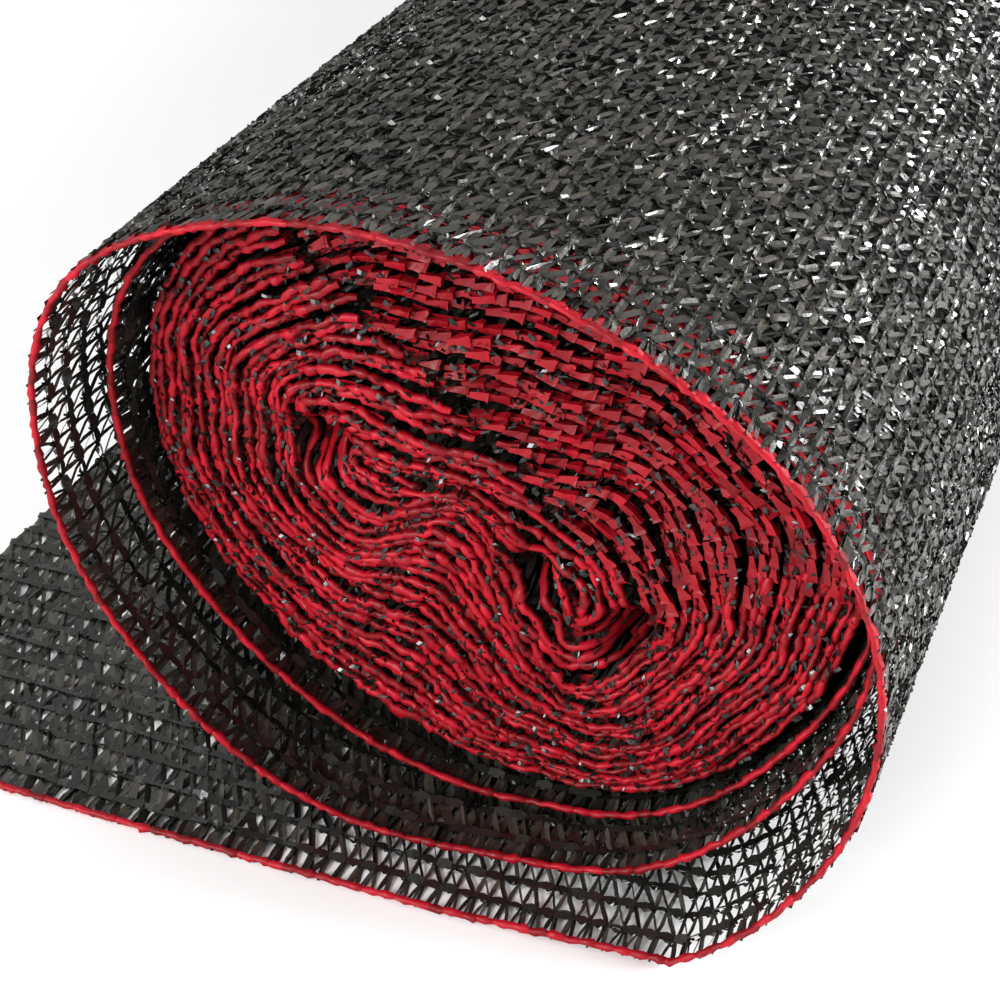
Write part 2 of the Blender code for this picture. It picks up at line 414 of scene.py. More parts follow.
def as_strips(sections):
    """Stack cross-sections and flatten the stitches into one list of strips."""
    stacked = np.stack(sections, axis=-3)
    return stacked.reshape(-1, *stacked.shape[-3:])


print("flat on top", flatness(length_at(80)).round(2), "rolled up below", flatness(0.1).round(2))

# %% [markdown]
# The straight tapes cross all the rows at right angles, one for each stitch, in pairs. They
# are nipped where a chain holds them and bulge in between. The slanting ones go back a stitch
# from row to row, and every other one is folded narrow. Each tape leans a little out of the
# plane of the cloth, which gives the sparkle. Three or four cross-sections make one, with a
# crease along its middle where it is seen close.

# %% Straight and slanting tapes
NIPPED = (0.00068, 0.0009)
BULGING = (0.00084, 0.0004)
BULGE_SHIFT = 0.0008
WIDTH_SPREAD = 0.30
WIDE_TAPE = ((0, 0.00078, 0.0011), (0.3, 0.00092, 0.0008), (0.7, 0.00092, 0.0007),
             (1, 0.00078, 0.0011))
FOLDED_TAPE = ((0, 0.00040, 0.0011), (0.5, 0.00055, 0.0008), (1, 0.00040, 0.0011))
WIDE_LEAN = 0.0075
FOLDED_LEAN = 0.025
NARROWEST = 0.85
SLANT_BOW = 0.0006


def straight_tapes(first, last, low, high, creased):
    """Tapes that run from row to row at right angles to the chains."""
    crease = crease_at[first:last, low:high] if creased else None
    sections = []
    for step in (0, 1, 2):
        here = (slice(first, last), slice(low + step // 2, high + step // 2))
        there = (slice(first, last), slice(low + (step + 1) // 2, high + (step + 1) // 2))
        along = (pair_along[here] + pair_along[there]) / 2
        across = (node_across[here] + node_across[there]) / 2
        half, below = BULGING if step == 1 else NIPPED
        lean = middle_lean[here] if step == 1 else node_lean[here]
        shift = BULGE_SHIFT * middle_lean[here] if step == 1 else 0
        half = half * flatness(along)
        half = half * (1 + WIDTH_SPREAD * (tape_tint[here] - 0.5))
        sections.append(ribbon(along + shift, across, below, (1.0, 0.0, lean), half, crease))
    return as_strips(sections), tape_tint[first:last, low:high].ravel()


def slanting_tapes(first, last, low, high, folded, creased):
    """Tapes that go back one stitch from each row to the next: every other one is folded."""
    stitch, row = np.meshgrid(np.arange(first, last), np.arange(low, high), indexing="ij")
    chosen = (stitch + row_offset[row]) % 2 == folded
    stitch = stitch[chosen]
    row = row[chosen]
    rise_along = node_along[stitch, row + 1] - node_along[stitch + 1, row]
    rise_across = node_across[stitch, row + 1] - node_across[stitch + 1, row]
    lean = middle_lean[stitch, row + 1] * (FOLDED_LEAN if folded else WIDE_LEAN)
    tint = tape_tint[stitch, row + 1]
    crease = crease_at[stitch, row + 1] if creased else None
    sections = []
    for part, half, below in FOLDED_TAPE if folded else WIDE_TAPE:
        along = node_along[stitch + 1, row] + part * rise_along
        along = along + SLANT_BOW * math.sin(2 * math.pi * part) * (tint - 0.3)
        across = node_across[stitch + 1, row] + part * rise_across
        wide = half * flatness(along) * (NARROWEST + WIDTH_SPREAD * tint)
        sections.append(ribbon(along, across, below, (rise_across, -rise_along, lean), wide,
                               crease))
    return as_strips(sections), dice.uniform(0, 1, len(stitch))


print("straight and slanting tapes have their shapes")

# %% [markdown]
# The chain is the part that holds the net together. Its tape is drawn through itself at each
# stitch, so it twists into a cord with a small loop across it, and the tapes that it nips
# spread into a little creased plate. At this size no one sees how loops interlace, so a
# twisted ribbon, a flat ribbon under it, a loop and a plate stand for them. The cord, the flat
# ribbon and the plate take only the dark end of the tint ramp, a painted shade that makes the
# rows read as dark lines. The loop takes the light end, a painted highlight.

# %% Chains, loops and plates
CHAIN_BOW = 0.0005
CHAIN_TWIST = 6
CHAIN_HALF = 0.00050
CHAIN_SWELL = 0.00012
CHAIN_BELOW = 0.0003
CHAIN_DIP = 0.0002
UNDER_BELOW = 0.0013
LOOP_REACH = (0.0010, 0.0019)
LOOP_BELOW = 0.0001
PLATE_STEP = 0.0011


def on_chain(here, part):
    """Places along and across the cloth, part of the way from some stitches to the next."""
    along = node_along[here] + part * (node_along[1:][here] - node_along[here])
    across = node_across[here] + part * (node_across[1:][here] - node_across[here])
    return along, across


def chain_tapes(here, parts):
    """The twisted tape of the chain, from each stitch to the next along a row."""
    phase = tape_tint[here] * CHAIN_TWIST
    sections = []
    for part in np.linspace(0, 1, parts + 1):
        along, across = on_chain(here, part)
        across = across + CHAIN_BOW * math.sin(2 * math.pi * part)
        turn = 2 * math.pi * part + phase * math.sin(math.pi * part)
        swing = math.cos(2 * math.pi * part)
        sections.append(ribbon(along, across, CHAIN_BELOW + CHAIN_DIP * swing,
                               (0.0, np.cos(turn), np.sin(turn)),
                               CHAIN_HALF - CHAIN_SWELL * swing))
    # Only the dark end of the tint ramp: painted shade along the rows.
    return as_strips(sections), dice.uniform(0, 0.3, phase.size)


def under_tapes(here):
    """The flat tape on the inner side of each chain. It covers the rows from inside, and its
    dark tint is painted shade.
    """
    lean = dice.normal(0, 0.3, node_along[here].shape)
    sections = []
    for part, side, half in ((0, 0.0, 0.0009), (0.5, 0.0003, 0.0013), (1, 0.0, 0.0009)):
        along, across = on_chain(here, part)
        sections.append(ribbon(along, across + side, UNDER_BELOW, (0.0, 1.0, lean), half))
    # Only the dark part of the tint ramp: painted shade on the inner side of the rows.
    return as_strips(sections), dice.uniform(0, 0.4, lean.size)


def loop_tapes(here):
    """The small loop across the chain at each stitch."""
    lean = dice.normal(0, 1.1, node_along[here].shape)
    reach = dice.uniform(*LOOP_REACH, lean.shape)
    sections = []
    for side, half in ((-1, 0.0003), (0, 0.00045), (1, 0.0003)):
        along = node_along[here] + 0.0004 * (1 - 2 * abs(side)) + 0.0003 * side * lean
        sections.append(ribbon(along, node_across[here] + side * reach, LOOP_BELOW,
                               (1.0, 0.0, lean), half))
    # Only the light part of the tint ramp: a painted highlight, besides the real sparkle from
    # the loop's lean.
    return as_strips(sections), dice.uniform(0.4, 1, lean.size)


def gathered_tapes(here):
    """The creased plate of nipped tapes on the chain at each stitch."""
    lean = dice.normal(0, 0.35, node_along[here].shape)
    sections = []
    for side, half, below in ((-1, 0.0006, 0.0012), (0, 0.0012, 0.0007), (1, 0.0009, 0.0011)):
        along = node_along[here] + side * PLATE_STEP
        sections.append(ribbon(along, node_across[here] + 0.0004 * lean, below,
                               (0.15 * side, 1.0, lean), half * flatness(along)))
    # Only the darker half of the tint ramp: painted shade along the rows.
    return as_strips(sections), dice.uniform(0, 0.5, lean.size)


print("chains have their shapes")

# %% [markdown]
# Between the outermost chain and the red edge the tapes turn back in short folded fans, three
# to a stitch. Short bent ribbons that lean at random catch the light as those do.

# %% Fans at the edges
FANS = ((-0.34, EDGE_BAND - 0.0008), (0.0, EDGE_BAND - 0.0004), (0.33, 0.0006))
FAN_HALVES = ((0, 0.00045), (0.5, 0.00085), (1, 0.0006))
FAN_RISE = 0.0003
FAN_DIP = 0.0007


def edge_side(across, far):
    """Places measured in from the near edge, or from the far one."""
    return CLOTH_WIDTH - across if far else across


def edge_fans(first, last, far):
    """Short tapes between the red edge and the first chain."""
    strips = []
    row = ROW_GAPS if far else 0
    for shift, start in FANS:
        stitch = np.arange(first, last)
        lean = dice.normal(0, 0.8, len(stitch))
        spread = dice.normal(0, 0.0005, len(stitch))
        outer = (stitch + shift) * STITCH + spread
        inner = node_along[stitch, row] + shift * 0.3 * STITCH
        sections = []
        for part, half in FAN_HALVES:
            across = start + part * (FIRST_ROW - start)
            sections.append(ribbon(outer + part * (inner - outer) + part * (1 - part) * spread,
                                   edge_side(across, far),
                                   FAN_DIP * part + FAN_RISE * lean * part * (1 - part),
                                   (1.0, 0.0, lean * (1 - 0.6 * part)),
                                   half * (0.8 + 0.3 * np.abs(lean)) * flatness(outer)))
        strips.append(as_strips(sections))
    points = np.concatenate(strips)
    return points, dice.uniform(0, 1, len(points))


print(len(FANS), "fans to a stitch")

# %% [markdown]
# The red edge is a chain of its own. Where the cloth is slack, each of its stitches shows as
# a folded tape that flares over the next one, like a row of scales. A few rectangular
# cross-sections with ruffled corners make one scale.

# %% Red scales
Flare = namedtuple("Flare", "part half thick")
FLARED = (Flare(0.0, 0.85, 0.58), Flare(0.45, 0.90, 0.72), Flare(0.85, 1.05, 1.0),
          Flare(1.0, 1.20, 1.10), Flare(1.0, 1.10, 0.25))
SCALE_SIZE = (0.9, 1.18)
SCALE_LENGTH = (1.12, 1.32)
SCALE_RUFFLE = 0.17
SCALE_SIDE = 0.8
CORNER_SIDES = np.array([1.0, -0.9, -0.9, 1.0])
CORNER_DEPTHS = np.array([0.8, 0.95, -0.95, -0.8])


def edge_scales(start, back, below, thickness):
    """Red scales: start is each one's narrow end along the cloth, back its place across."""
    count = len(start)
    tilt = dice.normal(0, 0.3, count)
    size = dice.uniform(*SCALE_SIZE, count)
    length = STITCH * dice.uniform(*SCALE_LENGTH, count)
    sections = []
    for flare in FLARED:
        ruffle = 1 + dice.normal(0, SCALE_RUFFLE, (2, count, 4))
        side = SCALE_SIDE * flare.half * MILLIMETRE * size[:, None] * CORNER_SIDES * ruffle[0]
        deep = 0.5 * flare.thick * thickness[:, None] * CORNER_DEPTHS * ruffle[1]
        lean = (tilt * (0.4 + 0.6 * flare.part))[:, None]
        turned_side = side * np.cos(lean) - deep * np.sin(lean)
        turned_deep = side * np.sin(lean) + deep * np.cos(lean)
        along = np.broadcast_to((start - flare.part * length)[:, None], side.shape)
        deeper = below[:, None] + turned_deep - 0.25 * flare.part * thickness[:, None]
        sections.append(np.stack((along, back[:, None] + turned_side, deeper), axis=-1))
    # Scales take only the darker part of the red ramp: painted shade, for the slack top right of
    # the face lies under the turn above it.
    return np.stack(sections, axis=1), dice.uniform(0, 0.6, count)


print(len(FLARED), "cross-sections to a red scale")

# %% [markdown]
# Where the cloth is tight, the same chain is pulled into a thin, uneven rope. One long tube
# would have one colour, and separate beads would leave gaps. So each stitch is a short tube
# of its own tint, and shares its first and last cross-section with its neighbours.

# %% Red ropes
ROPE_PARTS = 3
ROPE_SWELL = np.array((0.82, 1.00, 1.12))
ROPE_HALF = 0.0010
ROPE_CORNERS = np.radians((10, 80, 150, 215, 300))
ROPE_SPREAD = 0.00025
ROPE_RUFFLE = 0.20
ROPE_ZIGZAG = 0.08


def rope_places(stitches):
    """Places along a chain of red stitches: three in each stitch, and one at the end."""
    places = STITCH * (1 + np.arange(stitches * ROPE_PARTS + 1) / ROPE_PARTS)
    return places + dice.normal(0, ROPE_SPREAD, len(places))


def rope(along, back, below, thickness):
    """A chain of red stitches that run on into each other, each with its own tint."""
    places = np.arange(len(along))
    swell = ROPE_SWELL[places % ROPE_PARTS] * dice.normal(1, 0.08, len(places))
    ruffle = 1 + dice.normal(0, ROPE_RUFFLE, (2, len(places), len(ROPE_CORNERS)))
    side = ROPE_HALF * np.outer(swell, np.cos(ROPE_CORNERS)) * ruffle[0]
    deep = 0.5 * np.outer(swell * thickness, np.sin(ROPE_CORNERS)) * ruffle[1]
    zigzag = ROPE_ZIGZAG * thickness * np.sin(np.pi * (places + 0.5) / ROPE_PARTS)
    points = np.stack((np.broadcast_to(along[:, None], side.shape), back[:, None] + side,
                       (below + zigzag)[:, None] + deep), axis=-1)
    stitches = (len(along) - 1) // ROPE_PARTS
    in_stitch = ROPE_PARTS * np.arange(stitches)[:, None] + np.arange(ROPE_PARTS + 1)
    return points[in_stitch], dice.uniform(0, 1, stitches)


print(ROPE_PARTS, "places to a stitch of red rope")

# %% [markdown]
# The outermost turn and the loose end are one real net from edge to edge, in three pieces.
# The turns below it are real nets near the two ends of the roll, where they show. In between
# they only show as darkness behind the holes, so there they are a plain sheet, painted near
# black as shade.

# %% The nets of the loose cloth
FINE_ROWS = 28


def knit(strips, first, last, low, high, near_edge, far_edge):
    """Add the net between two stitches and two rows: far from the near edge it is plainer."""
    middle = min(max(low, FINE_ROWS), high)
    for start, end, fine in ((low, middle, True), (middle, high, False)):
        if end > start:
            here = (slice(first, last), slice(start, end + 1 if end == high else end))
            strips.add(*straight_tapes(first, last, start, end, fine))
            strips.add(*slanting_tapes(first, last, start, end, 0, fine))
            strips.add(*slanting_tapes(first, last, start, end, 1, fine))
            strips.add(*chain_tapes(here, 4 if fine else 2))
            strips.add(*loop_tapes(here))
            strips.add(*gathered_tapes(here))
    if low < FINE_ROWS:
        strips.add(*under_tapes((slice(first, last), slice(low, min(high + 1, FINE_ROWS)))))
    if near_edge:
        strips.add(*edge_fans(first, last, far=False))
    if far_edge:
        strips.add(*edge_fans(first, last, far=True))


def net_piece(name, first, last, bands):
    """A piece of the loose cloth: bands are pairs of rows."""
    strips = Strips(cloth_point)
    for low, high in bands:
        knit(strips, first, last, low, high, low == 0, high == ROW_GAPS)
    return strips.make(name, BLACK_TAPE)


OUTER_STITCHES = int(length_at(285) / STITCH)
THIRD = OUTER_STITCHES // 3 + 1
net_loose_end = net_piece("net_loose_end", 0, THIRD, [(0, ROW_GAPS)])
net_outer_right = net_piece("net_outer_right", THIRD, 2 * THIRD, [(0, ROW_GAPS)])
net_outer_left = net_piece("net_outer_left", 2 * THIRD, OUTER_STITCHES, [(0, ROW_GAPS)])
NEAR_ROWS = 9
FAR_ROWS = 6
net_inner_turns = net_piece("net_inner_turns", OUTER_STITCHES, STITCHES,
                            [(0, NEAR_ROWS), (ROW_GAPS - FAR_ROWS, ROW_GAPS)])
print(OUTER_STITCHES, "stitches in the outer turn and loose end, of", STITCHES)

# %% [markdown]
# The red edges of the loose cloth are separate pieces only because they are another colour.
# On the real cloth they are knitted in, so they take the same path. Here they are drawn
# tight, so each is one thin rope.

# %% The red edges of the loose cloth
SELVEDGE_DEPTH = 0.0009
SELVEDGE_THICKNESS = 0.0018
SELVEDGE_SPREAD = 0.0001


def selvedge(name, far):
    """The red stitches along one edge of the loose cloth."""
    strips = Strips(cloth_point)
    along = rope_places(STITCHES - 1)
    back = edge_side(EDGE_BAND * 0.5 + dice.normal(0, SELVEDGE_SPREAD, len(along)), far)
    strips.add(*rope(along, back, SELVEDGE_DEPTH, SELVEDGE_THICKNESS), closed=True, soft=True)
    return strips.make(name, RED_TAPE)


selvedge_near = selvedge("selvedge_near", far=False)
selvedge_far = selvedge("selvedge_far", far=True)
print(STITCHES - 1, "red stitches along each edge")

# %% [markdown]
# The wound part of the roll is a spiral of about twenty-five more turns. It starts under the
# loose cloth, follows the squashed outline, tightens to the kidney-shaped fold, and ends in
# the flat fold at the core. Only its ends show, so it is a dark body with real edges on its
# two faces: red stitches in front, and 15 mm of black tapes behind them.

# %% The path of the wound cloth
ROLL_REST = 0.0088
ROLL_SETBACK = 0.045
CORE_SETBACK = 0.048
KIDNEY_PART = 0.27
OUTER_TURNS = 18
INNER_TURNS = 4
CORE_TURNS = 2.7
FOLD_LEFT = (-0.036, 0.0885)
FOLD_RIGHT = (0.013, 0.0635)
TILT_SETBACK = 0.011
TILT_REACH = 0.09
STEPS_PER_TURN = 240
PITCH_LIMITS = (0.0016, 0.006)
RIPPLE = 0.0011
WOBBLE = 0.16
FAR_PHASE = 2.0
Hollow = namedtuple("Hollow", "x z depth radius")
HOLLOWS = (Hollow(-0.052, 0.093, 0.016, 0.0038), Hollow(0.0275, 0.0555, 0.018, 0.0040),
           Hollow(0.003, 0.069, 0.011, 0.0030))


def on_fold(x, z):
    """The nearest point of the straight fold in the middle of the roll."""
    run_x = FOLD_RIGHT[0] - FOLD_LEFT[0]
    run_z = FOLD_RIGHT[1] - FOLD_LEFT[1]
    share = ((x - FOLD_LEFT[0]) * run_x + (z - FOLD_LEFT[1]) * run_z) / (run_x ** 2 + run_z ** 2)
    share = np.clip(share, 0, 1)
    return FOLD_LEFT[0] + share * run_x, FOLD_LEFT[1] + share * run_z


def section_point(part, angle, along):
    """A point of the wound roll's cross-section: part is 0 at the core and 1 at the rim."""
    shrink = np.clip(-part, 0, 1)
    inner = np.clip(part / KIDNEY_PART, 0, 1)
    outer = np.clip((part - KIDNEY_PART) / (1 - KIDNEY_PART), 0, 1)
    radius = ring_value("wound", angle) + lumps_at(angle, along)
    core_x = ring_value("core_x", angle)
    core_z = ring_value("core_z", angle)
    fold_x = core_x + inner * (ring_value("kidney_x", angle) - core_x)
    fold_z = core_z + inner * (ring_value("kidney_z", angle) - core_z)
    middle_x, middle_z = on_fold(fold_x, fold_z)
    fold_x = fold_x + shrink * (middle_x - fold_x)
    fold_z = fold_z + shrink * (middle_z - fold_z)
    x = fold_x + outer * (radius * np.cos(angle) - fold_x)
    z = fold_z + outer * (CENTRE_HEIGHT + radius * np.sin(angle) - fold_z)
    return x, np.maximum(z, ROLL_REST)


def part_after(turns):
    """How far out the spiral is after this many turns inward from the rim."""
    outer = 1 - (1 - KIDNEY_PART) * turns / OUTER_TURNS
    inner = KIDNEY_PART * (1 - (turns - OUTER_TURNS) / INNER_TURNS)
    core = -0.8 * (turns - OUTER_TURNS - INNER_TURNS) / CORE_TURNS
    return np.where(turns < OUTER_TURNS, outer, np.where(inner > 0, inner, core))


class WoundEnd:
    """The wound cloth at one end of the roll, as a path with places along, back and below."""

    def __init__(self, far):
        self.far = far
        self.turns = np.arange(0, OUTER_TURNS + INNER_TURNS + CORE_TURNS, 1 / STEPS_PER_TURN)
        angle = np.radians(SHEET_END_ANGLE + 360 * self.turns)
        face = ROLL_SETBACK + (CLOTH_WIDTH if far else 0)
        part = part_after(self.turns)
        x, z = section_point(part, angle, face)
        next_x, next_z = section_point(part_after(self.turns + 1), angle, face)
        self.pitch = np.clip(np.hypot(next_x - x, next_z - z), *PITCH_LIMITS)
        inside = np.clip((1 - part) * 6, 0, 1)
        phase = FAR_PHASE if far else 0.0
        ripple = RIPPLE * np.sin(190 * z + 60 * x + phase) * inside
        shear = RIPPLE * np.sin(165 * x - 40 * z + 1 + phase) * inside
        wobble = WOBBLE * self.pitch * np.sin(23 * self.turns + phase) * inside
        self.x = x + ripple + wobble * np.cos(angle)
        self.z = np.maximum(z + shear + wobble * np.sin(angle), ROLL_REST)
        step = np.hypot(np.diff(self.x), np.diff(self.z))
        self.length = np.concatenate(([0.0], np.cumsum(step)))
        self.slope_x = np.gradient(self.x, self.length)
        self.slope_z = np.gradient(self.z, self.length)
        size = np.hypot(self.slope_x, self.slope_z)
        self.slope_x /= size
        self.slope_z /= size
        setback = (CORE_SETBACK - ROLL_SETBACK) * (1 - part)
        setback += 0.0010 * np.sin(4.1 * self.turns + phase) * inside
        setback += 0.0008 * np.sin(11.7 * self.turns + 60 * x) * inside
        self.up_right = (self.x + self.z - CENTRE_HEIGHT) / TILT_REACH
        setback += TILT_SETBACK * np.clip(self.up_right, 0, 1) * inside
        for hollow in HOLLOWS:
            away = ((self.x - hollow.x) ** 2 + (self.z - hollow.z) ** 2) / hollow.radius ** 2
            setback += hollow.depth * np.exp(-away / 2)
        self.setback = setback

    def bend(self, along, back, below):
        """Points in space, from places along the spiral, behind the face and below the cloth."""
        x = np.interp(along, self.length, self.x)
        z = np.interp(along, self.length, self.z)
        x = x - np.interp(along, self.length, self.slope_z) * below
        z = z + np.interp(along, self.length, self.slope_x) * below
        inward = back + np.interp(along, self.length, self.setback)
        y = ROLL_SETBACK + (CLOTH_WIDTH - inward if self.far else inward)
        return np.stack((x + MIDDLE_X, y + NEAR_EDGE_Y, z), axis=-1)


near_end = WoundEnd(far=False)
far_end = WoundEnd(far=True)
print(f"wound cloth {near_end.length[-1]:.2f} m long at the near end")

# %% [markdown]
# The red ropes on the wound faces are as thick as the room between two turns lets them be.
# That is why the face is dense red at the bottom left, where the turns are squeezed. At the
# top right they are slack: the stitches open into scales, and more black shows between them.

# %% The red faces
SLACK_PITCH = 0.0027
SLACK_SIDE = 0.12
THINNEST_ROPE = 0.0004
ROPE_FILL = 0.72
THICKEST_ROPE = 0.0025
SCALE_SPREAD = 0.0004
BACKING_DEPTH = 0.0032
BACKING_MOST = 0.6
Waver = namedtuple("Waver", "size waves bend bend_waves")
BACK_WAVER = Waver(0.0004, 300, 2, 51)
THICK_WAVER = Waver(0.16, 230, 3, 29)
DEPTH_WAVER = Waver(0.10, 480, 3, 37)


def wavering(kind, along):
    """A wave along the spiral that never looks regular."""
    return kind.size * np.sin(kind.waves * along + kind.bend * np.sin(kind.bend_waves * along))


def red_backing(start, pitch):
    """Red tapes a little behind the stitches, where the turns are tight."""
    behind = dice.uniform(0, 1, len(start)) < np.clip(1.25 - pitch / 0.004, 0, BACKING_MOST)
    start = start[behind]
    reach = 0.45 * pitch[behind]
    deep = BACKING_DEPTH + dice.uniform(-0.0008, 0.0010, len(start))
    sections = []
    for share in (0, 0.5, 1):
        wave = dice.normal(0, 0.0003, len(start))
        sections.append(ribbon(start - share * 1.1 * STITCH, deep + wave, 0.3 * reach,
                               (0.0, 0.15, 1.0), reach))
    return as_strips(sections), dice.uniform(0, 1, len(start))


def wound_edges(name, end):
    """The red stitches of the spiral on one face: ropes, and scales where it is slack."""
    strips = Strips(end.bend)
    along = rope_places(int(end.length[-1] / STITCH) - 1)
    pitch = np.interp(along, end.length, end.pitch)
    back = EDGE_BAND * 0.5 + dice.normal(0, 0.0002, len(along)) + wavering(BACK_WAVER, along)
    thick = np.minimum(THINNEST_ROPE + ROPE_FILL * pitch, THICKEST_ROPE)
    thick *= 1 + wavering(THICK_WAVER, along)
    points, tint = rope(along, back, pitch * wavering(DEPTH_WAVER, along), thick)
    first = slice(0, -1, ROPE_PARTS)
    up_right = np.interp(along[first], end.length, end.up_right)
    slack = (pitch[first] > SLACK_PITCH) & (up_right > SLACK_SIDE)
    strips.add(points[~slack], tint[~slack], closed=True, soft=True)
    start = along[first] + dice.normal(0, SCALE_SPREAD, len(slack))
    scale_back = back[first][slack] + dice.normal(0, SCALE_SPREAD, slack.sum())
    scale_below = dice.normal(0, 0.06, slack.sum()) * pitch[first][slack]
    strips.add(*edge_scales(start[slack], scale_back, scale_below, thick[first][slack]),
               closed=True)
    strips.add(*red_backing(start, pitch[first]))
    return strips.make(name, RED_TAPE)


FLECK_CHANCE = 0.50
FLECK_START = 0.20
FLECK_SPAN = 0.28
FLECK_PLACES = ((0.20, 0.0003), (0.33, 0.0001), (0.48, 0.0003))
TAPE_LAYERS = 5
TAPE_DEPTHS = ((0.0, 0.0005), (0.0040, 0.0010), (0.0150, 0.0011))


def flecks(end):
    """Turns of black tape that show between the red stitches on a wound face."""
    stitch = np.arange(1, int(end.length[-1] / STITCH))
    stitch = np.repeat(stitch, 2)[dice.uniform(0, 1, 2 * len(stitch)) < FLECK_CHANCE]
    start = stitch * STITCH + dice.normal(0, 0.0009, len(stitch))
    pitch = np.interp(start, end.length, end.pitch)
    side = np.where(dice.uniform(0, 1, len(stitch)) < 0.5, -1, 1)
    slant = dice.normal(0, 0.0007, len(stitch))
    lean = dice.normal(0, 0.5, len(stitch))
    half = dice.uniform(0.0003, 0.0006, len(stitch))
    reach = dice.uniform(0.0008, 0.0022, len(stitch))
    sections = []
    for share, back in FLECK_PLACES:
        sections.append(ribbon(start + reach * (share - FLECK_START) / FLECK_SPAN, back,
                               side * share * pitch + slant * share,
                               (0.2, lean, 1.0), half))
    # Flecks take only the darkest end of the tint ramp: painted shade, for they lie in the gaps
    # between the red ropes.
    return as_strips(sections), dice.uniform(0.0, 0.12, len(stitch))


def wound_tapes(name, end):
    """The black tapes behind the red stitches, and the flecks that stand out between them."""
    strips = Strips(end.bend)
    stitches = int(end.length[-1] / STITCH)
    for layer in range(TAPE_LAYERS):
        start = (np.arange(stitches) + 0.2 * layer) * STITCH + dice.normal(0, 0.0006, stitches)
        pitch = np.interp(start, end.length, end.pitch)
        lean = dice.normal(0, 0.7, stitches)
        below = (0.15 * layer - 0.1) * pitch + dice.normal(0, 0.1, stitches) * pitch
        slant = dice.normal(0, 0.0012, stitches)
        tip = dice.uniform(-0.0004, 0.0022, stitches)
        sections = []
        for back, half in TAPE_DEPTHS:
            reach = np.maximum(tip, back)
            sections.append(ribbon(start + slant * reach / 0.005, reach, below,
                                   (1.0, 0.0, lean), half))
        strips.add(as_strips(sections), dice.uniform(0, 0.9, stitches))
    strips.add(*flecks(end))
    return strips.make(name, BLACK_TAPE)


wound_edges_near = wound_edges("wound_edges_near", near_end)
wound_edges_far = wound_edges("wound_edges_far", far_end)
wound_tapes_near = wound_tapes("wound_tapes_near", near_end)
wound_tapes_far = wound_tapes("wound_tapes_far", far_end)

# %% [markdown]
# The outermost wound turn stands out past the loose cloth at the far end, so it gets a strip
# of real net round its rim, and the near end gets the same.

# %% The net round the wound roll
def rim_net(name, end, rows):
    """A band of real net round the first turn of the wound cloth."""
    strips = Strips(end.bend)
    last = int(np.interp(1.0, end.turns, end.length) / STITCH)
    knit(strips, 0, last, 0, rows, True, False)
    return strips.make(name, BLACK_TAPE)


rim_net_near = rim_net("rim_net_near", near_end, 4)
rim_net_far = rim_net("rim_net_far", far_end, 8)

# %% [markdown]
# Behind the holes everything is dark: layer on layer of black net. A closed body inside the
# wound roll and a sheet inside the loose turns give that darkness. Their colour is the plastic
# made darker still, a painted shade for the layers deep behind the holes: nearly black, a
# little darker away from the middle of each stitch, rough, with the stitches as a bump.

# %% The dark cloth behind
def shaded_net_material(name):
    """Black net darkened to a painted shade, with its stitches as bumps."""
    material, shader = new_material(name, {"Roughness": 0.55, "Specular IOR Level": 0.15})
    nodes = material.node_tree.nodes
    spot = nodes.new("ShaderNodeTexCoord")
    cells = set_inputs(nodes.new("ShaderNodeTexVoronoi"), {"Scale": 260})
    ramp = nodes.new("ShaderNodeValToRGB")
    ramp.color_ramp.elements[0].color = (0.006, 0.006, 0.005, 1)
    ramp.color_ramp.elements[1].color = (0.001, 0.001, 0.001, 1)
    bump = set_inputs(nodes.new("ShaderNodeBump"), {"Strength": 0.8, "Distance": 0.001})
    link_nodes(material, (
        (spot, "Object", cells, "Vector"), (cells, "Distance", ramp, "Fac"),
        (ramp, "Color", shader, "Base Color"), (cells, "Distance", bump, "Height"),
        (bump, "Normal", shader, "Normal")))
    return material


SHADED_NET = shaded_net_material("black_net_painted_shade")


def smooth_piece(name, rings, closed):
    """A piece from rings of points, one after the other."""
    rings = np.asarray(rings)
    count, points = rings.shape[:2]
    faces = strip_faces(1, count, points, closed)
    mesh = bpy.data.meshes.new(name)
    mesh.from_pydata(rings.reshape(-1, 3).tolist(), [], faces.tolist())
    mesh.materials.append(SHADED_NET)
    mesh.polygons.foreach_set("use_smooth", np.ones(len(faces), bool))
    print(f"{name}: {len(faces) * 2} triangles")
    return add_object(name, mesh)


BODY_RECESS = 0.022
BODY_STEP = 4
BODY_PARTS = (0.0, 0.12, 0.27, 0.45, 0.7, 0.9)
BODY_SIDE = 0.965
round_angle = np.radians(np.arange(0, 360, BODY_STEP))


def body_ring(part, section_y, y):
    """One ring of the dark body: the roll's section at section_y, moved to y."""
    x, z = section_point(np.full(len(round_angle), part), round_angle, section_y)
    return np.stack((x + MIDDLE_X, np.full(len(x), y + NEAR_EDGE_Y), z), axis=-1)


near_y = ROLL_SETBACK + BODY_RECESS
far_y = ROLL_SETBACK + CLOTH_WIDTH - BODY_RECESS
body_rings = [body_ring(part, ROLL_SETBACK, near_y) for part in BODY_PARTS]
body_rings += [body_ring(BODY_SIDE, y, y) for y in np.linspace(near_y, far_y, 15)]
body_rings += [body_ring(part, ROLL_SETBACK + CLOTH_WIDTH, far_y) for part in BODY_PARTS[::-1]]
wound_body = smooth_piece("wound_body", body_rings, closed=True)

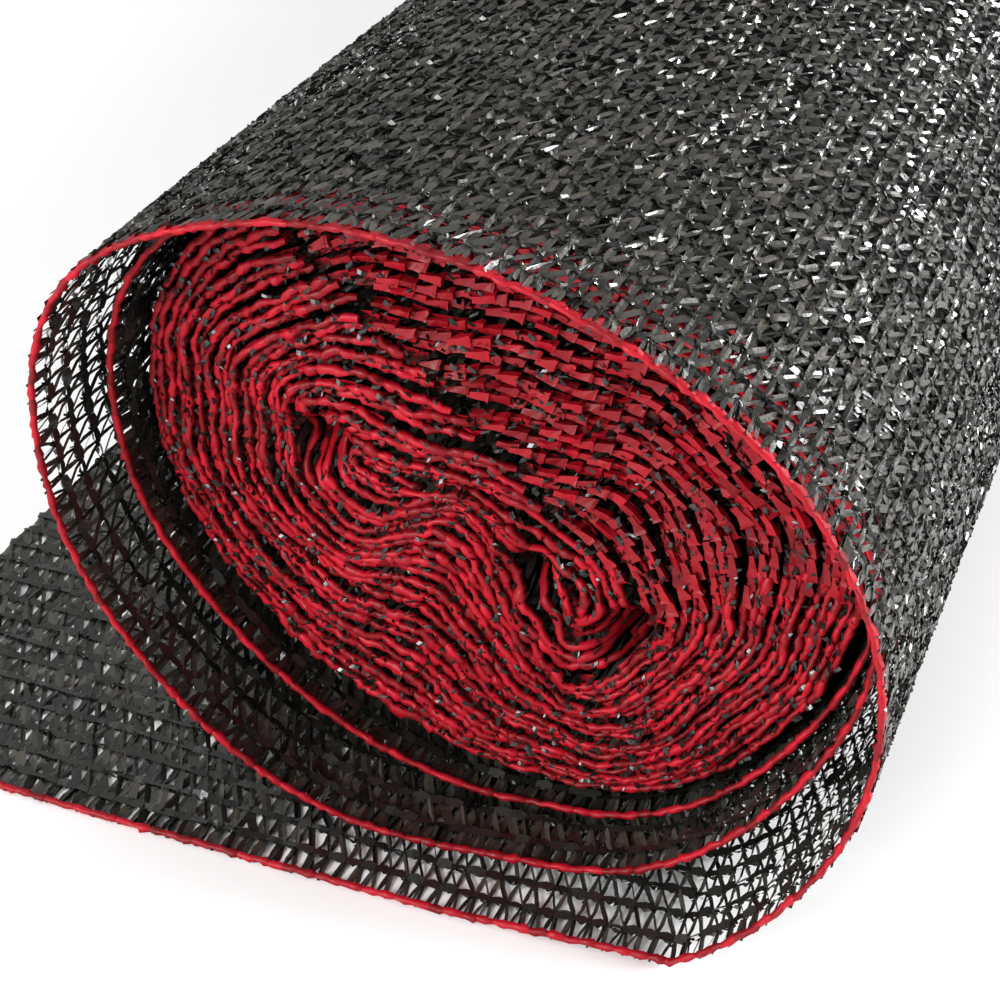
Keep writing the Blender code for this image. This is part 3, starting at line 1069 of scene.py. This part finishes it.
DARK_DEPTH = 0.0022
DARK_FROM_ROW = 3
sheet_low = FIRST_ROW + (DARK_FROM_ROW - 0.5) * ROW_SPACING
sheet_high = CLOTH_WIDTH - FIRST_ROW - (FAR_ROWS - 0.5) * ROW_SPACING
sheet_start = OUTER_STITCHES * STITCH
sheet_along, sheet_across = np.meshgrid(np.linspace(sheet_start, LOOSE_LENGTH, 160),
                                        np.linspace(sheet_low, sheet_high, 24), indexing="ij")
cloth_inner_turns = smooth_piece("cloth_inner_turns",
                                 cloth_point(sheet_along, sheet_across, DARK_DEPTH),
                                 closed=False)

# %% [markdown]
# The roll lies on a plain pale sheet. It has next to no gloss, and hardly any grain.

# %% The floor
FLOOR_HALF = 6.0
FLOOR_CORNERS = ((-1, -1), (1, -1), (1, 1), (-1, 1))
floor_mesh = bpy.data.meshes.new("floor")
floor_mesh.from_pydata([(x * FLOOR_HALF, y * FLOOR_HALF, 0) for x, y in FLOOR_CORNERS],
                       [], [(0, 1, 2, 3)])
floor = add_object("floor", floor_mesh)
floor_material, floor_shader = new_material("pale_floor",
                                            {"Roughness": 0.8, "Specular IOR Level": 0.2})
floor_nodes = floor_material.node_tree.nodes
floor_noise = set_inputs(floor_nodes.new("ShaderNodeTexNoise"), {"Scale": 40})
floor_ramp = floor_nodes.new("ShaderNodeValToRGB")
floor_ramp.color_ramp.elements[0].color = (0.96, 0.96, 0.96, 1)
floor_ramp.color_ramp.elements[1].color = (0.98, 0.98, 0.98, 1)
link_nodes(floor_material, ((floor_noise, "Fac", floor_ramp, "Fac"),
                            (floor_ramp, "Color", floor_shader, "Base Color")))
floor_mesh.materials.append(floor_material)
print("floor is", 2 * FLOOR_HALF, "metres wide")

# %% [markdown]
# The light is soft: an even white surround and four square lights. The one in front lights
# the red face. Those behind and at the right are low enough to graze the roll, which puts the
# white sparkle on the tapes, and a weak one above fills in the top.

# %% Light
SURROUND = 0.51


def soft_light(name, place, target, size, watts):
    """A square light that faces a point."""
    light_data = bpy.data.lights.new(name, "AREA")
    light_data.size = size
    light_data.energy = watts
    light = add_object(name, light_data)
    light.location = place
    away = [here - there for here, there in zip(place, target)]
    level = math.hypot(away[0], away[1])
    light.rotation_euler = (math.atan2(level, away[2]), 0, math.atan2(away[0], -away[1]))


world = bpy.data.worlds.new("surround")
bpy.context.scene.world = world
world.use_nodes = True
set_inputs(world.node_tree.nodes["Background"], {"Color": (1, 1, 1, 1), "Strength": SURROUND})
soft_light("front_light", (-1.0, -2.3, 0.9), (0.05, -0.4, 0.08), size=1.0, watts=62)
soft_light("back_light", (1.5, 2.1, 1.0), (0.05, -0.2, 0.12), size=0.4, watts=30)
soft_light("side_light", (2.3, 0.1, 0.8), (0.15, -0.2, 0.08), size=0.8, watts=85)
soft_light("top_light", (-0.3, 0.2, 2.6), (0.0, 0.0, 0.0), size=1.5, watts=12)
bpy.context.scene.view_settings.view_transform = "Standard"
print("surround and four lights are in place")

# %% [markdown]
# Last, the solids that the pieces stand for are hidden, and every piece is hung on the root
# body.

# %% What each piece stands for
LOOSE_PIECES = (net_loose_end, net_outer_right, net_outer_left, net_inner_turns,
                cloth_inner_turns, selvedge_near, selvedge_far)
WOUND_PIECES = (wound_body, wound_edges_near, wound_edges_far, wound_tapes_near,
                wound_tapes_far, rim_net_near, rim_net_far)
for piece in LOOSE_PIECES:
    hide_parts("loose_turns")
for piece in WOUND_PIECES:
    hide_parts("wound_roll")
for piece in LOOSE_PIECES + WOUND_PIECES:
    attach(piece, "root")
